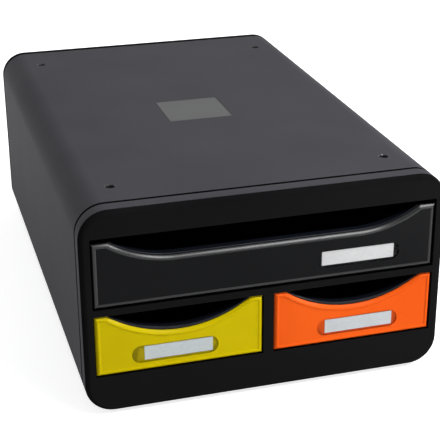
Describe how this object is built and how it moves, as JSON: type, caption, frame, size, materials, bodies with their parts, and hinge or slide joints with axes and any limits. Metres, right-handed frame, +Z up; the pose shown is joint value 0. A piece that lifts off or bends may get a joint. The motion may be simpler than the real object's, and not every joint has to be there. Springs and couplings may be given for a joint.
{
  "type": "desk drawer box",
  "caption": "Low desk drawer box with rounded casing: a full-width drawer over two half-width drawers, scooped fronts with label windows.",
  "frame": {"origin": "on the desk under the middle of the case (bottom centre of the bounding box)", "axes": "+X to the right as seen from the front, +Y from the drawer fronts to the rear panel, +Z up"},
  "size_m": [0.255, 0.384, 0.1495],
  "materials": {
    "textured_casing": "fine matte grain",
    "satin_black": "satin",
    "gloss_black": "gloss",
    "grey_plate": "fine matte",
    "face_black": "satin gloss",
    "face_yellow": "satin gloss",
    "face_orange": "satin gloss",
    "clear_window": "clear gloss",
    "card_white": "plain card",
    "rubber": "matte"
  },
  "bodies": {
    "case": {"case_shell": "textured_casing", "front_frame": "satin_black", "rear_panel": "satin_black", "base_deck": "satin_black", "divider_shelf": "satin_black", "centre_partition": "satin_black", "drawer_guide_left": "satin_black", "drawer_guide_right": "satin_black", "top_plate": "grey_plate", "foot_front_left": "rubber", "foot_front_right": "rubber", "foot_rear_left": "rubber", "foot_rear_right": "rubber"},
    "upper_drawer": {"upper_drawer_tray": "gloss_black", "upper_drawer_face": "face_black", "upper_label_window": "clear_window", "upper_label_card": "card_white"},
    "left_drawer": {"left_drawer_tray": "gloss_black", "left_drawer_face": "face_yellow", "left_label_window": "clear_window", "left_label_card": "card_white"},
    "right_drawer": {"right_drawer_tray": "gloss_black", "right_drawer_face": "face_orange", "right_label_window": "clear_window", "right_label_card": "card_white"}
  },
  "joints": [
    {"name": "upper_drawer_slide", "type": "slide", "parent": "case", "child": "upper_drawer", "axis": [0, -1, 0], "range_m": [0, 0.27]},
    {"name": "left_drawer_slide", "type": "slide", "parent": "case", "child": "left_drawer", "axis": [0, -1, 0], "range_m": [0, 0.27]},
    {"name": "right_drawer_slide", "type": "slide", "parent": "case", "child": "right_drawer", "axis": [0, -1, 0], "range_m": [0, 0.27]}
  ]
}
